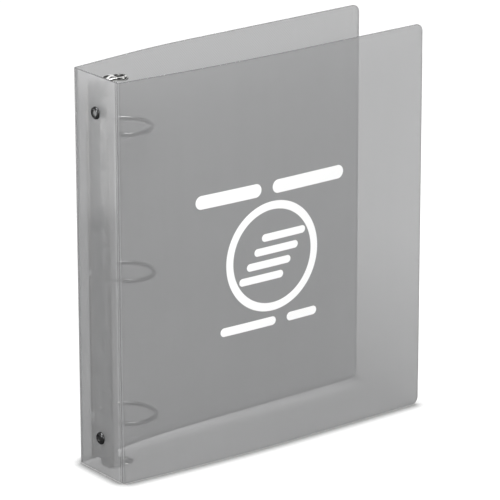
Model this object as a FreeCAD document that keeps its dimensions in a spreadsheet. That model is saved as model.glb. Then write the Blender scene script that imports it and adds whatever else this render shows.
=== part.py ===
import FreeCAD, Part
import os

import Sketcher

# Three-ring binder standing on its bottom edges: a spine panel and two covers joined by living
# hinges, and a riveted steel ring mechanism with a finger trigger at each end. Millimetres.
# Frame: origin at the middle of the spine panel's bottom edge. +X runs from the spine to the free
# edges of the covers, -Y is the front cover's side, +Y the back cover's side, and +Z is up.

DIMENSIONS = {
    # the folded sheet
    "height": 298.0,
    "spine_width": 54.8,
    "sheet_thick": 1.4,
    "web_thick": 0.6,
    "fold_leg": 1.9,
    "corner_radius": 6.0,
    # front cover, seen from above: straight, a wide bend, straight
    "front_heading": 3.2,
    "front_first_run": 40.0,
    "front_bend_radius": 1400.0,
    "front_end_heading": -1.6,
    "front_last_run": 114.0,
    # back cover, which stands further open
    "back_heading": 9.0,
    "back_first_run": 47.0,
    "back_bend_radius": 507.0,
    "back_end_heading": 2.0,
    "back_last_run": 162.0,
    # housing of the ring mechanism, heights above the spine's inner face
    "housing_length": 283.0,
    "housing_width": 28.0,
    "housing_thick": 0.9,
    "housing_rise": 6.9,
    "housing_side_rise": 3.9,
    "lip_width": 2.7,
    "lip_rise": 1.75,
    "end_notch_width": 13.0,
    "end_notch_depth": 6.4,
    "ring_notch_inner": 8.2,
    "ring_notch_height": 4.6,
    # carrier rails under the housing
    "rail_length": 270.4,
    "rail_width": 12.3,
    "rail_thick": 0.9,
    "rail_pivot_offset": 12.6,
    "rail_pivot_rise": 2.4,
    "rail_tilt": 3.0,
    "rail_notch_radius": 3.2,
    "dimple_diameter": 1.8,
    # rings
    "ring_pitch": 107.95,
    "ring_radius": 21.7,
    "ring_centre_rise": 20.5,
    "wire_diameter": 3.2,
    "ring_shoulder_angle": 98.0,
    "ring_entry_angle": 153.0,
    "ring_foot_radius": 4.2,
    "ring_foot_length": 0.8,
    "ring_root_inset": 2.2,
    "tenon_diameter": 2.1,
    "tenon_hole_diameter": 2.2,
    "stake_diameter": 3.0,
    "stake_thick": 0.35,
    "tip_gap": 0.04,
    "tip_pin_diameter": 1.4,
    "tip_pin_length": 0.8,
    "tip_socket_diameter": 1.8,
    "tip_socket_depth": 1.1,
    # rivets
    "rivet_pitch": 243.4,
    "rivet_shank_diameter": 4.4,
    "rivet_hole_diameter": 4.5,
    "rivet_head_diameter": 9.2,
    "rivet_head_rise": 1.9,
    "rivet_dish_diameter": 4.6,
    "rivet_dish_rise": 0.9,
    "rivet_clinch_diameter": 6.4,
    "rivet_clinch_thick": 0.7,
    # finger triggers and their pivot pins
    "trigger_pivot_rise": 3.0,
    "trigger_pivot_span": 275.2,
    "trigger_width": 9.6,
    "trigger_eye_diameter": 3.8,
    "trigger_hole_diameter": 2.1,
    "tongue_low": 2.8,
    "tongue_high": 2.0,
    "tongue_length": 5.0,
    "tongue_heel": 0.6,
    "tongue_width": 5.0,
    "tab_start": 2.6,
    "tab_end": 21.6,
    "tab_low": 5.6,
    "tab_thick": 1.2,
    "thumb_radius": 6.0,
    "ear_thick": 1.0,
    "ear_low": 1.6,
    "ear_high": 5.4,
    "ear_reach": 2.2,
    "pin_diameter": 2.0,
    "pin_overhang": 0.5,
}
# Places along Z of the small holes in each carrier rail, above and below mid-height.
FRONT_RAIL_HOLES = {"offset": 2.3, "heights": [-86.5, -56.3, -25.8, 21.8, 52.3, 82.8]}
BACK_RAIL_HOLES = {"offset": 4.8, "heights": [-52.5, 2.2, 56.6]}
RING_LEVELS = {"top": 1, "middle": 0, "bottom": -1}
ENDS = {"top": 1, "bottom": -1}
CUT_LENGTH = 60.0  # longer than any wall that a pocket goes through

document = FreeCAD.newDocument("ring_binder")
sheet = document.addObject("Spreadsheet::Sheet", "Dimensions")
for row, (alias, number) in enumerate(DIMENSIONS.items(), start=1):
    sheet.set(f"A{row}", alias)
    sheet.set(f"B{row}", str(number))
    sheet.setAlias(f"B{row}", alias)
document.recompute()
subparts = []


def cell(alias):
    """Expression that reads one cell of the sheet."""
    return f"Dimensions.{alias}"


def value(expression):
    """Number that an expression of the sheet's cells gives."""
    result = sheet.evalExpression(expression)
    return float(getattr(result, "Value", result))


MID_HEIGHT = "Dimensions.height / 2"
SPINE_INNER = "Dimensions.sheet_thick / 2"
RAIL_PIVOT = (f"{SPINE_INNER} + Dimensions.rail_pivot_rise", cell("rail_pivot_offset"))
RING_CENTRE = (f"{SPINE_INNER} + Dimensions.ring_centre_rise", "0")
HOUSING_APEX = f"{SPINE_INNER} + Dimensions.housing_rise"


def shifted(point, distance, direction):
    """The point moved by a distance along a direction, in degrees from the first axis."""
    first, second = point
    return (
        f"{first} + ({distance}) * cos(({direction}) * 1deg)",
        f"{second} + ({distance}) * sin(({direction}) * 1deg)",
    )


def position(point):
    """Vector of a point that is given as two expressions."""
    return FreeCAD.Vector(value(point[0]), value(point[1]), 0)


def new_body(label):
    """Body of one sub-part, whose label names its file."""
    body = document.addObject("PartDesign::Body", label)
    body.Label = label
    subparts.append(body)
    return body


def new_sketch(body, name, role):
    """Sketch on one of the body's own origin planes."""
    sketch = body.newObject("Sketcher::SketchObject", name)
    plane = next(item for item in body.Origin.OriginFeatures if item.Role == role)
    sketch.AttachmentSupport = (plane, [""])
    sketch.MapMode = "FlatFace"
    return sketch


def bind(sketch, kind, *where, expression):
    """Dimension of a sketch, bound to an expression of the sheet's cells."""
    index = sketch.addConstraint(Sketcher.Constraint(kind, *where, value(expression)))
    sketch.setExpression(f"Constraints[{index}]", expression)


def pin_point(sketch, geometry, end, point):
    """Hold one end of a line or arc, or a centre, at a point measured from the origin."""
    bind(sketch, "DistanceX", -1, 1, geometry, end, expression=point[0])
    bind(sketch, "DistanceY", -1, 1, geometry, end, expression=point[1])


def circle(sketch, centre, diameter):
    """Circle with its centre and diameter bound to the sheet."""
    around = Part.Circle(position(centre), FreeCAD.Vector(0, 0, 1), value(diameter) / 2)
    index = sketch.addGeometry(around, False)
    pin_point(sketch, index, 3, centre)
    bind(sketch, "Diameter", index, expression=diameter)


def segment(sketch, start, end, arc=None):
    """Line, or arc given as (centre, anticlockwise). Returns its index and its two ends' numbers."""
    first, last = position(start), position(end)
    if arc is None:
        return sketch.addGeometry(Part.LineSegment(first, last), False), 1, 2
    middle, anticlockwise = position(arc[0]), arc[1]
    turn_start, turn_end = (first, last) if anticlockwise else (last, first)
    ring = Part.Circle(middle, FreeCAD.Vector(0, 0, 1), (first - middle).Length)
    bend = Part.ArcOfCircle(ring, ring.parameter(turn_start), ring.parameter(turn_end))
    index = sketch.addGeometry(bend, False)
    return (index, 1, 2) if anticlockwise else (index, 2, 1)


def chain(sketch, points, arcs=None, closed=True):
    """Lines and arcs through the points, each point bound to the sheet."""
    arcs = arcs or {}
    count = len(points) if closed else len(points) - 1
    pieces = [segment(sketch, points[i], points[(i + 1) % len(points)], arcs.get(i)) for i in range(count)]
    for i, (index, start, end) in enumerate(pieces):
        pin_point(sketch, index, start, points[i])
        if closed or i + 1 < count:
            following, following_start, _ = pieces[(i + 1) % count]
            sketch.addConstraint(Sketcher.Constraint("Coincident", index, end, following, following_start))
        else:
            pin_point(sketch, index, end, points[i + 1])
        if i in arcs:
            run = position(points[(i + 1) % len(points)]) - position(points[i])
            flat = abs(run.x) > abs(run.y)
            kind, expression = ("DistanceY", arcs[i][0][1]) if flat else ("DistanceX", arcs[i][0][0])
            bind(sketch, kind, -1, 1, index, 3, expression=expression)


def rectangle(sketch, low, high):
    """Rectangle between two opposite corners."""
    chain(sketch, [low, (high[0], low[1]), high, (low[0], high[1])])


def pad(body, sketch, length, symmetric=False):
    """Solid grown from a sketch along its normal, or evenly to both sides."""
    feature = body.newObject("PartDesign::Pad", f"{sketch.Name}_pad")
    feature.Profile = sketch
    feature.setExpression("Length", length)
    feature.SideType = "Symmetric" if symmetric else "One side"
    document.recompute()
    return feature


def pocket(body, sketch, length=str(CUT_LENGTH), symmetric=True, backwards=False):
    """Hole cut from a sketch. It must take something away."""
    document.recompute()
    before = body.Shape.Volume
    feature = body.newObject("PartDesign::Pocket", f"{sketch.Name}_cut")
    feature.Profile = sketch
    feature.setExpression("Length", length)
    feature.SideType = "Symmetric" if symmetric else "One side"
    feature.Reversed = backwards
    document.recompute()
    if body.Shape.Volume > before - 1e-3:
        raise RuntimeError(f"{feature.Name} cuts nothing")
    return feature


def raise_sketch(sketch, height):
    """Move a sketch along its own normal."""
    sketch.setExpression("AttachmentOffset.Base.z", height)


def place(body, axis="z", at="0", turned_over=False):
    """Put a body at a place along one axis, turned over about X for the mirrored side."""
    half_turn = FreeCAD.Rotation(FreeCAD.Vector(1, 0, 0), 180 if turned_over else 0)
    body.Placement = FreeCAD.Placement(FreeCAD.Vector(0, 0, 0), half_turn)
    body.setExpression(f"Placement.Base.{axis}", at)


def rivet_height(end):
    """Height of a rivet's axis at one end of the mechanism."""
    return f"{MID_HEIGHT} + ({end}) * Dimensions.rivet_pitch / 2"


# ---- the folded sheet -------------------------------------------------------------------------


def spine_panel():
    """Flat back panel with a hole for each rivet."""
    body = new_body("spine_panel")
    panel = new_sketch(body, "spine_outline", "YZ_Plane")
    half = "Dimensions.spine_width / 2 - Dimensions.fold_leg"
    rectangle(panel, (f"-({half})", "0"), (half, cell("height")))
    for end in ENDS.values():
        circle(panel, ("0", rivet_height(end)), cell("rivet_hole_diameter"))
    pad(body, panel, cell("sheet_thick"), symmetric=True)


def fold_centre():
    """Centre of the rounded fold between the spine and the back cover."""
    return (
        "Dimensions.fold_leg - Dimensions.sheet_thick / 2",
        "Dimensions.spine_width / 2 - Dimensions.fold_leg",
    )


def cover(label, side):
    """Cover panel: straight, bent and straight runs seen from above, with rounded free corners."""
    body = new_body(label)
    heading, end_heading = cell(f"{side}_heading"), cell(f"{side}_end_heading")
    normal, end_normal = f"{heading} + 90", f"{end_heading} + 90"
    bend_radius = cell(f"{side}_bend_radius")
    bend_start = shifted(fold_centre(), cell("fold_leg"), normal)
    bend_start = shifted(bend_start, cell(f"{side}_first_run"), heading)
    bend_centre = shifted(bend_start, f"-{bend_radius}", normal)

    def edge(depth):
        """The four points of the outer face's line, or of the inner one a sheet's depth inside."""
        start = shifted(fold_centre(), f"Dimensions.fold_leg - {depth}", normal)
        bend_end = shifted(bend_centre, f"{bend_radius} - {depth}", end_normal)
        return [
            start,
            shifted(start, cell(f"{side}_first_run"), heading),
            bend_end,
            shifted(bend_end, cell(f"{side}_last_run"), end_heading),
        ]

    outer, inner = edge("0"), edge(cell("sheet_thick"))
    section = new_sketch(body, f"{side}_cover_section", "XY_Plane")
    chain(section, outer + inner[::-1], arcs={1: (bend_centre, False), 5: (bend_centre, True)})
    panel = pad(body, section, cell("height"))
    reach = panel.Shape.BoundBox.XMax
    corners = []
    for number, line in enumerate(panel.Shape.Edges, start=1):
        across = line.BoundBox.ZLength < 1e-6 and line.Length < value("Dimensions.sheet_thick") * 1.01
        if across and line.BoundBox.XMax > reach - 1:
            corners.append(f"Edge{number}")
    rounding = body.newObject("PartDesign::Fillet", f"{side}_cover_corners")
    rounding.Base = (panel, corners)
    rounding.setExpression("Radius", cell("corner_radius"))
    if side == "front":
        place(body, at=cell("height"), turned_over=True)


def hinge_web(label, side):
    """Thin flexible strip that joins the spine to a cover round the fold."""
    body = new_body(label)
    section = new_sketch(body, f"{side}_web_section", "XY_Plane")
    normal = f"{cell(f'{side}_heading')} + 90"
    inner = "Dimensions.fold_leg - Dimensions.web_thick"
    points = [
        shifted(fold_centre(), cell("fold_leg"), normal),
        shifted(fold_centre(), cell("fold_leg"), "180"),
        shifted(fold_centre(), inner, "180"),
        shifted(fold_centre(), inner, normal),
    ]
    chain(section, points, arcs={0: (fold_centre(), True), 2: (fold_centre(), False)})
    pad(body, section, cell("height"))
    if side == "front":
        place(body, at=cell("height"), turned_over=True)


# ---- the ring mechanism -----------------------------------------------------------------------


def trigger_height(end):
    """Height of a trigger's pivot at one end of the mechanism."""
    return f"{MID_HEIGHT} + ({end}) * Dimensions.trigger_pivot_span / 2"


def arch_centre():
    """Centre of the housing's arch, from its rise over the two sides."""
    half = "Dimensions.housing_width / 2"
    rise = "(Dimensions.housing_rise - Dimensions.housing_side_rise)"
    return (f"{HOUSING_APEX} - ({half} * {half} + {rise} * {rise}) / (2 * {rise})", "0")


def housing_section(sketch):
    """Arched plate whose sides come down to the spine and roll in under the rails."""
    half, thick = "Dimensions.housing_width / 2", cell("housing_thick")
    side_top = f"{SPINE_INNER} + Dimensions.housing_side_rise"
    inner_half = f"{half} - {thick}"
    centre_x = arch_centre()[0]
    inner_radius = f"({HOUSING_APEX} - ({centre_x}) - {thick})"
    inner_top = f"{centre_x} + sqrt({inner_radius}^2 - ({inner_half})^2)"
    hem = f"{half} - Dimensions.lip_width"
    lip_top = f"{SPINE_INNER} + Dimensions.lip_rise"
    right = [
        (SPINE_INNER, half),
        (SPINE_INNER, hem),
        (lip_top, hem),
        (lip_top, f"{hem} + {thick}"),
        (f"{SPINE_INNER} + {thick}", f"{hem} + {thick}"),
        (f"{SPINE_INNER} + {thick}", inner_half),
        (inner_top, inner_half),
    ]
    left = [(x, f"-({y})") for x, y in reversed(right)]
    points = right + left + [(side_top, f"-({half})"), (side_top, half)]
    inner_arc, outer_arc = len(right) - 1, len(points) - 2
    chain(sketch, points, arcs={inner_arc: (arch_centre(), False), outer_arc: (arch_centre(), True)})


def notch(body, name, low, high, depth_low, depth_high):
    """Cut a box out of the housing: a rectangle across it, from one height to another."""
    sketch = new_sketch(body, name, "XY_Plane")
    raise_sketch(sketch, depth_low)
    rectangle(sketch, low, high)
    pocket(body, sketch, f"({depth_high}) - ({depth_low})", symmetric=False, backwards=True)


def mechanism_housing():
    """Nickelled cover plate of the mechanism, with ring notches, end notches and trigger ears."""
    body = new_body("mechanism_housing")
    section = new_sketch(body, "housing_section", "XY_Plane")
    bottom = f"{MID_HEIGHT} - Dimensions.housing_length / 2"
    raise_sketch(section, bottom)
    housing_section(section)
    pad(body, section, cell("housing_length"))
    holes = new_sketch(body, "housing_rivet_holes", "YZ_Plane")
    for end in ENDS.values():
        circle(holes, ("0", rivet_height(end)), cell("rivet_hole_diameter"))
    pocket(body, holes)
    for level_name, level in RING_LEVELS.items():
        middle = f"{MID_HEIGHT} + ({level}) * Dimensions.ring_pitch"
        low, high = (f"{middle} {sign} Dimensions.ring_notch_height / 2" for sign in "-+")
        for side_name, side in (("front", -1), ("back", 1)):
            inner = f"({side}) * Dimensions.ring_notch_inner"
            outer = f"({side}) * Dimensions.housing_width * 0.6"
            corners = ("0", inner), (f"{HOUSING_APEX} + 1", outer)
            notch(body, f"ring_notch_{level_name}_{side_name}", *corners, low, high)
    for end_name, end in ENDS.items():
        limits = [
            f"{MID_HEIGHT} + ({end}) * (Dimensions.housing_length / 2 - Dimensions.end_notch_depth)",
            f"{MID_HEIGHT} + ({end}) * (Dimensions.housing_length / 2 + 1)",
        ]
        half = "Dimensions.end_notch_width / 2"
        corners = (f"{SPINE_INNER} + Dimensions.lip_rise", f"-{half}"), (f"{HOUSING_APEX} + 1", half)
        notch(body, f"end_notch_{end_name}", *corners, *limits[::end])
        for side_name, side in (("front", -1), ("back", 1)):
            trigger_ear(body, f"ear_{end_name}_{side_name}", end, side)
    bores = new_sketch(body, "ear_bores", "XZ_Plane")
    for end in ENDS.values():
        pivot = f"{SPINE_INNER} + Dimensions.trigger_pivot_rise"
        circle(bores, (pivot, trigger_height(end)), f"{cell('pin_diameter')} + 0.04")
    pocket(body, bores, f"{cell('end_notch_width')} + 4 * {cell('ear_thick')}")


def trigger_ear(body, name, end, side):
    """Ear bent down from the edge of an end notch, which holds the trigger's pivot pin."""
    sketch = new_sketch(body, name, "XY_Plane")
    reach = cell("ear_reach")
    low_edge = f"{trigger_height(end)} - {reach}"
    raise_sketch(sketch, low_edge)
    inner = f"({side}) * Dimensions.end_notch_width / 2"
    outer = f"({side}) * (Dimensions.end_notch_width / 2 + Dimensions.ear_thick)"
    low_corner = (f"{SPINE_INNER} + Dimensions.ear_low", inner)
    rectangle(sketch, low_corner, (f"{SPINE_INNER} + Dimensions.ear_high", outer))
    pad(body, sketch, f"2 * {reach}")


def carrier_rail(label, side, holes):
    """Long flat rail that carries one half of each ring and rocks on its outer edge."""
    body = new_body(label)
    plate = new_sketch(body, f"{label}_plate", "YZ_Plane")
    half_length = "Dimensions.rail_length / 2"
    inner_edge = f"({-side}) * Dimensions.rail_width"
    rectangle(plate, ("0", f"-({half_length})"), (inner_edge, half_length))
    root = f"({-side}) * Dimensions.ring_root_inset"
    for level in RING_LEVELS.values():
        circle(plate, (root, f"({level}) * Dimensions.ring_pitch"), cell("tenon_hole_diameter"))
    for height in holes["heights"]:
        centre = f"({-side}) * (Dimensions.rail_pivot_offset - {holes['offset']})"
        circle(plate, (centre, str(height)), cell("dimple_diameter"))
    pad(body, plate, cell("rail_thick"), symmetric=True)
    clearances = new_sketch(body, f"{label}_rivet_notches", "YZ_Plane")
    middle = f"({-side}) * Dimensions.rail_pivot_offset"
    for end in ENDS.values():
        centre = (middle, f"({end}) * Dimensions.rivet_pitch / 2")
        circle(clearances, centre, "2 * Dimensions.rail_notch_radius")
    pocket(body, clearances)
    tilt = FreeCAD.Rotation(FreeCAD.Vector(0, 0, -side), value(cell("rail_tilt")))
    body.Placement = FreeCAD.Placement(FreeCAD.Vector(0, 0, 0), tilt)
    body.setExpression("Placement.Base.x", RAIL_PIVOT[0])
    body.setExpression("Placement.Base.y", f"({side}) * ({RAIL_PIVOT[1]})")
    body.setExpression("Placement.Base.z", MID_HEIGHT)


def ring_path():
    """Points and arcs of the back half's wire: ring arc, shoulder, slope, foot and short leg."""
    tilt, foot_radius = cell("rail_tilt"), cell("ring_foot_radius")
    shoulder, entry = cell("ring_shoulder_angle"), cell("ring_entry_angle")
    leg_direction = f"-({tilt})"
    root = shifted(RAIL_PIVOT, cell("ring_root_inset"), f"270 - {tilt}")
    root = shifted(root, "Dimensions.rail_thick / 2 + 0.02", leg_direction)
    foot_end = shifted(root, cell("ring_foot_length"), leg_direction)
    foot_centre = shifted(foot_end, foot_radius, f"90 - {tilt}")
    foot_start = shifted(foot_centre, f"-{foot_radius}", entry)
    turn = f"(({entry} - {shoulder}) * 1deg)"
    reach = (
        f"(({foot_start[0]} - ({RING_CENTRE[0]})) * cos({entry} * 1deg)"
        f" + ({foot_start[1]}) * sin({entry} * 1deg))"
    )
    shoulder_radius = f"(({reach} - Dimensions.ring_radius * cos{turn}) / (1 - cos{turn}))"
    shoulder_start = shifted(RING_CENTRE, cell("ring_radius"), shoulder)
    shoulder_centre = shifted(shoulder_start, f"-{shoulder_radius}", shoulder)
    shoulder_end = shifted(shoulder_centre, shoulder_radius, entry)
    tip = (f"{RING_CENTRE[0]} + Dimensions.ring_radius", "0")
    points = [tip, shoulder_start, shoulder_end, foot_start, foot_end, root]
    arcs = {0: (RING_CENTRE, True), 1: (shoulder_centre, True), 3: (foot_centre, False)}
    return points, arcs


def disc_along(body, name, base, diameter, length):
    """Short round solid that stands on a point of the rail's face, square to the tilted rail."""
    feature = body.newObject("PartDesign::AdditiveCylinder", name)
    away = FreeCAD.Rotation(FreeCAD.Vector(0, 0, 1), value(cell("rail_tilt")) * -1)
    square = away.multiply(FreeCAD.Rotation(FreeCAD.Vector(0, 1, 0), -90))
    feature.Placement = FreeCAD.Placement(FreeCAD.Vector(0, 0, 0), square)
    feature.setExpression("Placement.Base.x", base[0])
    feature.setExpression("Placement.Base.y", base[1])
    feature.setExpression("Radius", f"{diameter} / 2")
    feature.setExpression("Height", length)
    document.recompute()


def ring_half(side_name, level_name):
    """Half of one ring: wire bent round to the rail, a staked tenon, and a pin or socket tip."""
    label = f"ring_{side_name}_{level_name}"
    body = new_body(label)
    points, arcs = ring_path()
    path = new_sketch(body, f"{label}_path", "XY_Plane")
    chain(path, points, arcs, closed=False)
    wire = new_sketch(body, f"{label}_wire", "XZ_Plane")
    circle(wire, points[0], cell("wire_diameter"))
    document.recompute()
    pipe = body.newObject("PartDesign::AdditivePipe", f"{label}_bend")
    pipe.Profile = wire
    pipe.Spine = (path, [f"Edge{number}" for number in range(1, len(points))])
    document.recompute()
    through = shifted(points[-1], "0.2", f"-{cell('rail_tilt')}")
    disc_along(body, f"{label}_tenon", through, cell("tenon_diameter"), "Dimensions.rail_thick + 0.3")
    under = shifted(points[-1], "-(Dimensions.rail_thick + 0.05)", f"-{cell('rail_tilt')}")
    disc_along(body, f"{label}_stake", under, cell("stake_diameter"), cell("stake_thick"))
    tip = new_sketch(body, f"{label}_tip", "XZ_Plane")
    if side_name == "front":
        circle(tip, points[0], cell("tip_pin_diameter"))
        pad(body, tip, cell("tip_pin_length"))
    else:
        circle(tip, points[0], cell("tip_socket_diameter"))
        pocket(body, tip, cell("tip_socket_depth"), symmetric=False)
    front = side_name == "front"
    level = RING_LEVELS[level_name]
    place(body, at=f"{MID_HEIGHT} + ({level}) * Dimensions.ring_pitch", turned_over=front)
    side = -1 if front else 1
    body.setExpression("Placement.Base.y", f"({side}) * Dimensions.tip_gap / 2")


def trigger(end_name):
    """Finger lever: a tongue under the rails, an eye on the pin, an arm, and a tab with a round thumb end."""
    label = f"{end_name}_trigger"
    body = new_body(label)
    width, eye = cell("trigger_width"), cell("trigger_eye_diameter")
    tongue = new_sketch(body, f"{label}_tongue", "XZ_Plane")
    bottom, top = f"-{cell('tongue_low')}", f"-{cell('tongue_high')}"
    rectangle(tongue, (bottom, f"-{cell('tongue_length')}"), (top, cell("tongue_heel")))
    pad(body, tongue, cell("tongue_width"), symmetric=True)
    hub = new_sketch(body, f"{label}_eye", "XZ_Plane")
    circle(hub, ("0", "0"), eye)
    pad(body, hub, width, symmetric=True)
    bridge = new_sketch(body, f"{label}_bridge", "XZ_Plane")
    rectangle(bridge, (bottom, f"-{cell('tongue_heel')} * 2"), ("-1.3", cell("tongue_heel")))
    pad(body, bridge, cell("tongue_width"), symmetric=True)
    arm = new_sketch(body, f"{label}_arm", "XZ_Plane")
    tab_high = "Dimensions.tab_low + Dimensions.tab_thick"
    chain(arm, [
        (f"-{eye} / 2 * 0.5", f"{eye} / 2 * 0.8"),
        (f"{eye} / 2 * 0.8", f"-{eye} / 2 * 0.2"),
        (f"{cell('tab_start')} + 1", cell("tab_low")),
        (f"{cell('tab_start')} + 1", tab_high),
        (f"{cell('tab_start')} - 0.6", tab_high),
    ])
    pad(body, arm, width, symmetric=True)
    tab = new_sketch(body, f"{label}_tab", "XY_Plane")
    raise_sketch(tab, cell("tab_low"))
    half, thumb = f"{width} / 2", cell("thumb_radius")
    thumb_centre = f"{cell('tab_end')} - {thumb}"
    thumb_start = f"{thumb_centre} - sqrt({thumb}^2 - ({half})^2)"
    outline = [
        (cell("tab_start"), f"-{half}"),
        (thumb_start, f"-{half}"),
        (thumb_start, half),
        (cell("tab_start"), half),
    ]
    chain(tab, outline, arcs={1: ((thumb_centre, "0"), True)})
    pad(body, tab, cell("tab_thick"))
    hole = new_sketch(body, f"{label}_hole", "XZ_Plane")
    circle(hole, ("0", "0"), cell("trigger_hole_diameter"))
    pocket(body, hole)
    end = ENDS[end_name]
    place(body, at=trigger_height(end), turned_over=end < 0)
    body.setExpression("Placement.Base.x", f"{SPINE_INNER} + Dimensions.trigger_pivot_rise")


def trigger_pin(end_name):
    """Pivot pin across the two ears of one end."""
    label = f"{end_name}_trigger_pin"
    body = new_body(label)
    section = new_sketch(body, f"{label}_section", "XZ_Plane")
    circle(section, ("0", "0"), cell("pin_diameter"))
    length = "Dimensions.end_notch_width + 2 * (Dimensions.ear_thick + Dimensions.pin_overhang)"
    pad(body, section, length, symmetric=True)
    place(body, at=trigger_height(ENDS[end_name]))
    body.setExpression("Placement.Base.x", f"{SPINE_INNER} + Dimensions.trigger_pivot_rise")


def rivet(end_name):
    """Rivet with a round dished head outside the spine and a clinched end on the housing."""
    label = f"{end_name}_rivet"
    body = new_body(label)
    section = new_sketch(body, f"{label}_section", "XY_Plane")
    outer = f"-({SPINE_INNER})"
    shank, clinch = "Dimensions.rivet_shank_diameter / 2", "Dimensions.rivet_clinch_diameter / 2"
    head, dish = "Dimensions.rivet_head_diameter / 2", "Dimensions.rivet_dish_diameter / 2"
    rise = cell("rivet_head_rise")
    crown_centre = (outer, f"{head} - {rise}")
    chain(section, [
        (outer, shank),
        (outer, head),
        (f"{outer} - {rise}", f"{head} - {rise}"),
        (f"{outer} - Dimensions.rivet_dish_rise", f"{dish} - 0.4"),
        (f"{outer} - Dimensions.rivet_dish_rise", "0"),
        (f"{HOUSING_APEX} + Dimensions.rivet_clinch_thick", "0"),
        (f"{HOUSING_APEX} + Dimensions.rivet_clinch_thick", f"{clinch} - 0.5"),
        (f"{HOUSING_APEX} + 0.02", clinch),
        (f"{HOUSING_APEX} + 0.02", shank),
    ], arcs={1: (crown_centre, True)})
    document.recompute()
    turned = body.newObject("PartDesign::Revolution", f"{label}_turning")
    turned.Profile = section
    turned.ReferenceAxis = (section, ["H_Axis"])
    turned.Angle = 360.0
    place(body, at=rivet_height(ENDS[end_name]))


spine_panel()
cover("front_cover", "front")
cover("back_cover", "back")
hinge_web("front_hinge_web", "front")
hinge_web("back_hinge_web", "back")
mechanism_housing()
carrier_rail("front_carrier_rail", -1, FRONT_RAIL_HOLES)
carrier_rail("back_carrier_rail", 1, BACK_RAIL_HOLES)
for side_name in ("front", "back"):
    for level_name in RING_LEVELS:
        ring_half(side_name, level_name)
for end_name in ENDS:
    trigger(end_name)
    trigger_pin(end_name)
    rivet(end_name)
document.recompute()

# ---- check and write --------------------------------------------------------------------------

for item in document.Objects:
    if "Invalid" in item.State or "Error" in item.State:
        raise RuntimeError(f"{item.Label} failed: {item.State}")
for body in subparts:
    if body.Shape.isNull() or not body.Shape.isValid() or len(body.Shape.Solids) != 1:
        raise RuntimeError(f"{body.Label} is not one valid solid")

os.makedirs("parts", exist_ok=True)
for body in subparts:
    body.Shape.exportStep(f"parts/{body.Label}.step")
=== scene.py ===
import logging
import math
from dataclasses import dataclass, field
from enum import Enum
from typing import Any, Iterable, Optional, Sequence, Union

import bmesh
import bpy
from mathutils import Matrix, Vector


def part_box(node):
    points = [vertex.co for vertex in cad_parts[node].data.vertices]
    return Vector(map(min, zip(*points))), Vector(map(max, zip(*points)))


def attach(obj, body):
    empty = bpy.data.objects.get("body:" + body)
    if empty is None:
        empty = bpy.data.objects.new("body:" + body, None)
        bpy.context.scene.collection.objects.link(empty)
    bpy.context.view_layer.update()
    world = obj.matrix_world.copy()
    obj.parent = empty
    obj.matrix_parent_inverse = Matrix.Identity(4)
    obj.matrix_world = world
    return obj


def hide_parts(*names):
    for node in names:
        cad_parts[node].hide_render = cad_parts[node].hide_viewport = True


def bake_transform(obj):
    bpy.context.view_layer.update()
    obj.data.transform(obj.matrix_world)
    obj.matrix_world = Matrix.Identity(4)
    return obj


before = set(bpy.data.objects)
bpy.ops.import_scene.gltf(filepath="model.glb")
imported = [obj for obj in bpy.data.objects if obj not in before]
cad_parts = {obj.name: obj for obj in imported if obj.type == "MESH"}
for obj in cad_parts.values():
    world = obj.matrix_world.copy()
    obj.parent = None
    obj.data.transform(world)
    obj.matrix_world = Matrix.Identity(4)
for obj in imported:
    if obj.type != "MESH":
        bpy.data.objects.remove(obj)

LOG = logging.getLogger("ring_binder")
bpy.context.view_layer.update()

Point = tuple[float, float]
Triple = tuple[float, float, float]
Number = Union[float, "Reading"]


class Side(Enum):
    """The two covers, by the sign of the side of the spine that they stand on."""

    FRONT = -1
    BACK = 1

    @property
    def word(self) -> str:
        """Lower-case name used in node and body names."""
        return self.name.lower()


class End(Enum):
    """The two ends of the ring mechanism."""

    TOP = 1
    BOTTOM = -1

    @property
    def word(self) -> str:
        """Lower-case name used in node and body names."""
        return self.name.lower()


# ---- node building ----------------------------------------------------------------------------


class Reading:
    """A value socket that takes part in ordinary Python arithmetic."""

    def __init__(self, bench: "Bench", socket: bpy.types.NodeSocket) -> None:
        """Keep the bench that owns the tree, and the socket that gives the value."""
        self.bench = bench
        self.socket = socket

    def _math(self, operation: str, *values: Number) -> "Reading":
        """Add one Math node over the given values."""
        inputs = dict(enumerate(values))
        node = self.bench.node("ShaderNodeMath", {"operation": operation}, inputs)
        return Reading(self.bench, node.outputs[0])

    def __add__(self, other: Number) -> "Reading":
        """Sum."""
        return self._math("ADD", self, other)

    def __radd__(self, other: Number) -> "Reading":
        """Sum with the number on the left."""
        return self._math("ADD", other, self)

    def __sub__(self, other: Number) -> "Reading":
        """Difference."""
        return self._math("SUBTRACT", self, other)

    def __rsub__(self, other: Number) -> "Reading":
        """Difference with the number on the left."""
        return self._math("SUBTRACT", other, self)

    def __mul__(self, other: Number) -> "Reading":
        """Product."""
        return self._math("MULTIPLY", self, other)

    def __rmul__(self, other: Number) -> "Reading":
        """Product with the number on the left."""
        return self._math("MULTIPLY", other, self)

    def __truediv__(self, other: Number) -> "Reading":
        """Quotient."""
        return self._math("DIVIDE", self, other)

    def __abs__(self) -> "Reading":
        """Size without sign."""
        return self._math("ABSOLUTE", self)

    def least(self, other: Number) -> "Reading":
        """The smaller of two values."""
        return self._math("MINIMUM", self, other)

    def most(self, other: Number) -> "Reading":
        """The larger of two values."""
        return self._math("MAXIMUM", self, other)

    def root(self) -> "Reading":
        """Square root."""
        return self._math("SQRT", self)

    def sine(self) -> "Reading":
        """Sine of the value in radians."""
        return self._math("SINE", self)

    def clamped(self) -> "Reading":
        """The value held between 0 and 1."""
        return self.most(0.0).least(1.0)

    def ramp(self, low: float, high: float) -> "Reading":
        """0 below low and 1 above high, straight in between. High may be the smaller."""
        return ((self - low) / (high - low)).clamped()


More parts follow.
